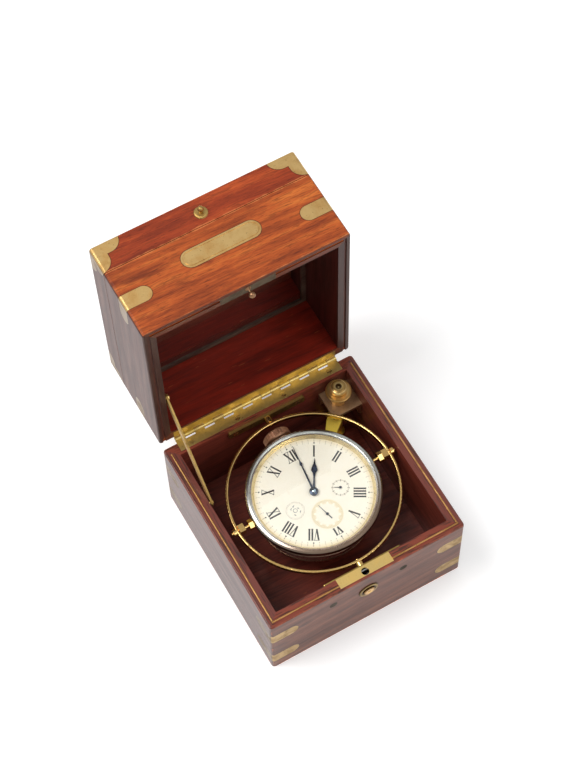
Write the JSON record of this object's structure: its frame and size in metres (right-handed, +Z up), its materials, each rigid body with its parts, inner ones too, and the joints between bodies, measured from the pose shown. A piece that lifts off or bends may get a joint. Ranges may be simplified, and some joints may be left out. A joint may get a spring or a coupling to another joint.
{
  "type": "deck watch box",
  "caption": "Brass-bound wooden three-tier box with a hinged lid stood open, a push-button lock, and a crown-wound watch hung in a gimbal ring with a swinging lock arm.",
  "frame": {"origin": "centre of the base's underside", "axes": "+X to the right seen from the front, +Y to the hinge side, +Z up"},
  "size_m": [0.115, 0.1763, 0.1781],
  "materials": {
    "mahogany": "polished figured mahogany",
    "mahogany_lid": "polished figured mahogany of the lid",
    "brass": "aged lacquered brass",
    "bright_brass": "bright lacquered brass",
    "silver": "silvered, satin",
    "dial_cream": "matt cream enamel",
    "crystal": "clear domed glass",
    "lid_glass": "clear flat glass",
    "blued_steel": "blued steel",
    "steel": "polished steel"
  },
  "bodies": {
    "base": {"base_front_wall": "mahogany", "base_back_wall": "mahogany", "base_side_walls": "mahogany", "base_bottom": "mahogany", "rim_beads": "brass", "base_corner_straps": "brass", "lock_plate": "bright_brass", "lock_case": "brass", "lock_end_plugs": "brass", "button_escutcheon": "brass", "base_screws": "brass", "pivot_plates": "brass", "ring_pivots": "steel", "corner_plate": "brass", "lock_post": "brass", "main_hinge_base_leaf": "bright_brass", "main_hinge_pin": "steel"},
    "button": {"push_button": "brass", "latch": "steel"},
    "arm": {"lock_arm": "bright_brass"},
    "knob": {"lock_knob": "brass"},
    "lid": {"middle_end_walls": "mahogany_lid", "middle_side_walls": "mahogany_lid", "middle_corner_straps": "brass", "oval_plate": "brass", "catch_pin": "brass", "catch_plate": "brass", "glass_beads": "mahogany_lid", "glass_pane": "lid_glass", "main_hinge_lid_leaf": "bright_brass", "lid_screws": "brass", "top_hinge_lower_leaf": "brass", "top_hinge_pin": "steel", "top_catch_strike": "brass"},
    "stay": {"lid_stay": "brass"},
    "top_lid": {"top_end_walls": "mahogany_lid", "top_side_walls": "mahogany_lid", "top_panel": "mahogany_lid", "top_corner_brasses": "brass", "top_button_collar": "brass", "top_hinge_upper_leaf": "brass", "top_screws": "brass"},
    "top_latch": {"top_button": "brass"},
    "ring": {"gimbal_ring": "bright_brass", "trunnion_bushes": "bright_brass"},
    "watch": {"watch_trunnions": "bright_brass", "watch_bezel": "silver", "watch_crystal": "crystal", "watch_band": "silver", "watch_back": "silver", "watch_dial": "dial_cream", "movement_plates": "brass", "going_train": "brass", "balance": "brass"},
    "stem": {"winding_stem": "steel"},
    "crown": {"crown": "brass"},
    "hour": {"hour_hand": "blued_steel"},
    "minute": {"minute_hand": "blued_steel"},
    "seconds": {"seconds_hand": "blued_steel"},
    "indicator": {"indicator_hand": "blued_steel"}
  },
  "joints": [
    {"name": "lid_hinge", "type": "hinge", "parent": "base", "child": "lid", "pos_m": [0, 0.0602, 0.05495], "axis": [-1, 0, 0], "range_deg": [-90, 0]},
    {"name": "stay_pivot", "type": "hinge", "parent": "lid", "child": "stay", "pos_m": [-0.0494, 0.0622, 0.1], "axis": [1, 0, 0], "range_deg": [-135, 0]},
    {"name": "top_lid_hinge", "type": "hinge", "parent": "lid", "child": "top_lid", "pos_m": [0, 0.10075, 0.05535], "axis": [-1, 0, 0], "range_deg": [0, 95]},
    {"name": "top_button_press", "type": "slide", "parent": "top_lid", "child": "top_latch", "axis": [0, 0, -1], "range_m": [0, 0.0007], "stiffness_N_per_m": 400},
    {"name": "lock_button_press", "type": "slide", "parent": "base", "child": "button", "axis": [0, 1, 0], "range_m": [0, 0.0011], "stiffness_N_per_m": 400},
    {"name": "lock_arm_swing", "type": "hinge", "parent": "base", "child": "arm", "pos_m": [0.0408, 0.0429, 0.0368], "axis": [0, 0, 1], "range_deg": [0, 50]},
    {"name": "lock_knob_turn", "type": "hinge", "parent": "base", "child": "knob", "pos_m": [0.0408, 0.0429, 0.05], "axis": [0, 0, 1], "continuous": true},
    {"name": "ring_tilt", "type": "hinge", "parent": "base", "child": "ring", "pos_m": [0.0007, -0.0004, 0.0495], "axis": [0, 1, 0], "range_deg": [-15, 15]},
    {"name": "watch_tilt", "type": "hinge", "parent": "ring", "child": "watch", "pos_m": [0.0007, -0.0004, 0.0495], "axis": [1, 0, 0], "range_deg": [-15, 15]},
    {"name": "crown_pull", "type": "slide", "parent": "watch", "child": "stem", "axis": [0, 1, 0], "range_m": [0, 0.0008]},
    {"name": "crown_turn", "type": "hinge", "parent": "stem", "child": "crown", "pos_m": [0.0007, 0.0391, 0.044], "axis": [0, 1, 0], "continuous": true},
    {"name": "minute_turn", "type": "hinge", "parent": "watch", "child": "minute", "pos_m": [0.0007, -0.0004, 0.0496], "axis": [0, 0, -1], "continuous": true},
    {"name": "hour_turn", "type": "hinge", "parent": "watch", "child": "hour", "pos_m": [0.0007, -0.0004, 0.0488], "axis": [0, 0, -1], "continuous": true},
    {"name": "seconds_turn", "type": "hinge", "parent": "watch", "child": "seconds", "pos_m": [0.0007, -0.0146, 0.0487], "axis": [0, 0, -1], "continuous": true},
    {"name": "indicator_turn", "type": "hinge", "parent": "watch", "child": "indicator", "pos_m": [0.01414, -0.00498, 0.0487], "axis": [0, 0, -1], "range_deg": [-60, 180]}
  ],
  "couplings": [
    {"joint": "stay_pivot", "follows": "lid_hinge", "ratio": 1.4756},
    {"joint": "hour_turn", "follows": "minute_turn", "ratio": 0.083333}
  ]
}
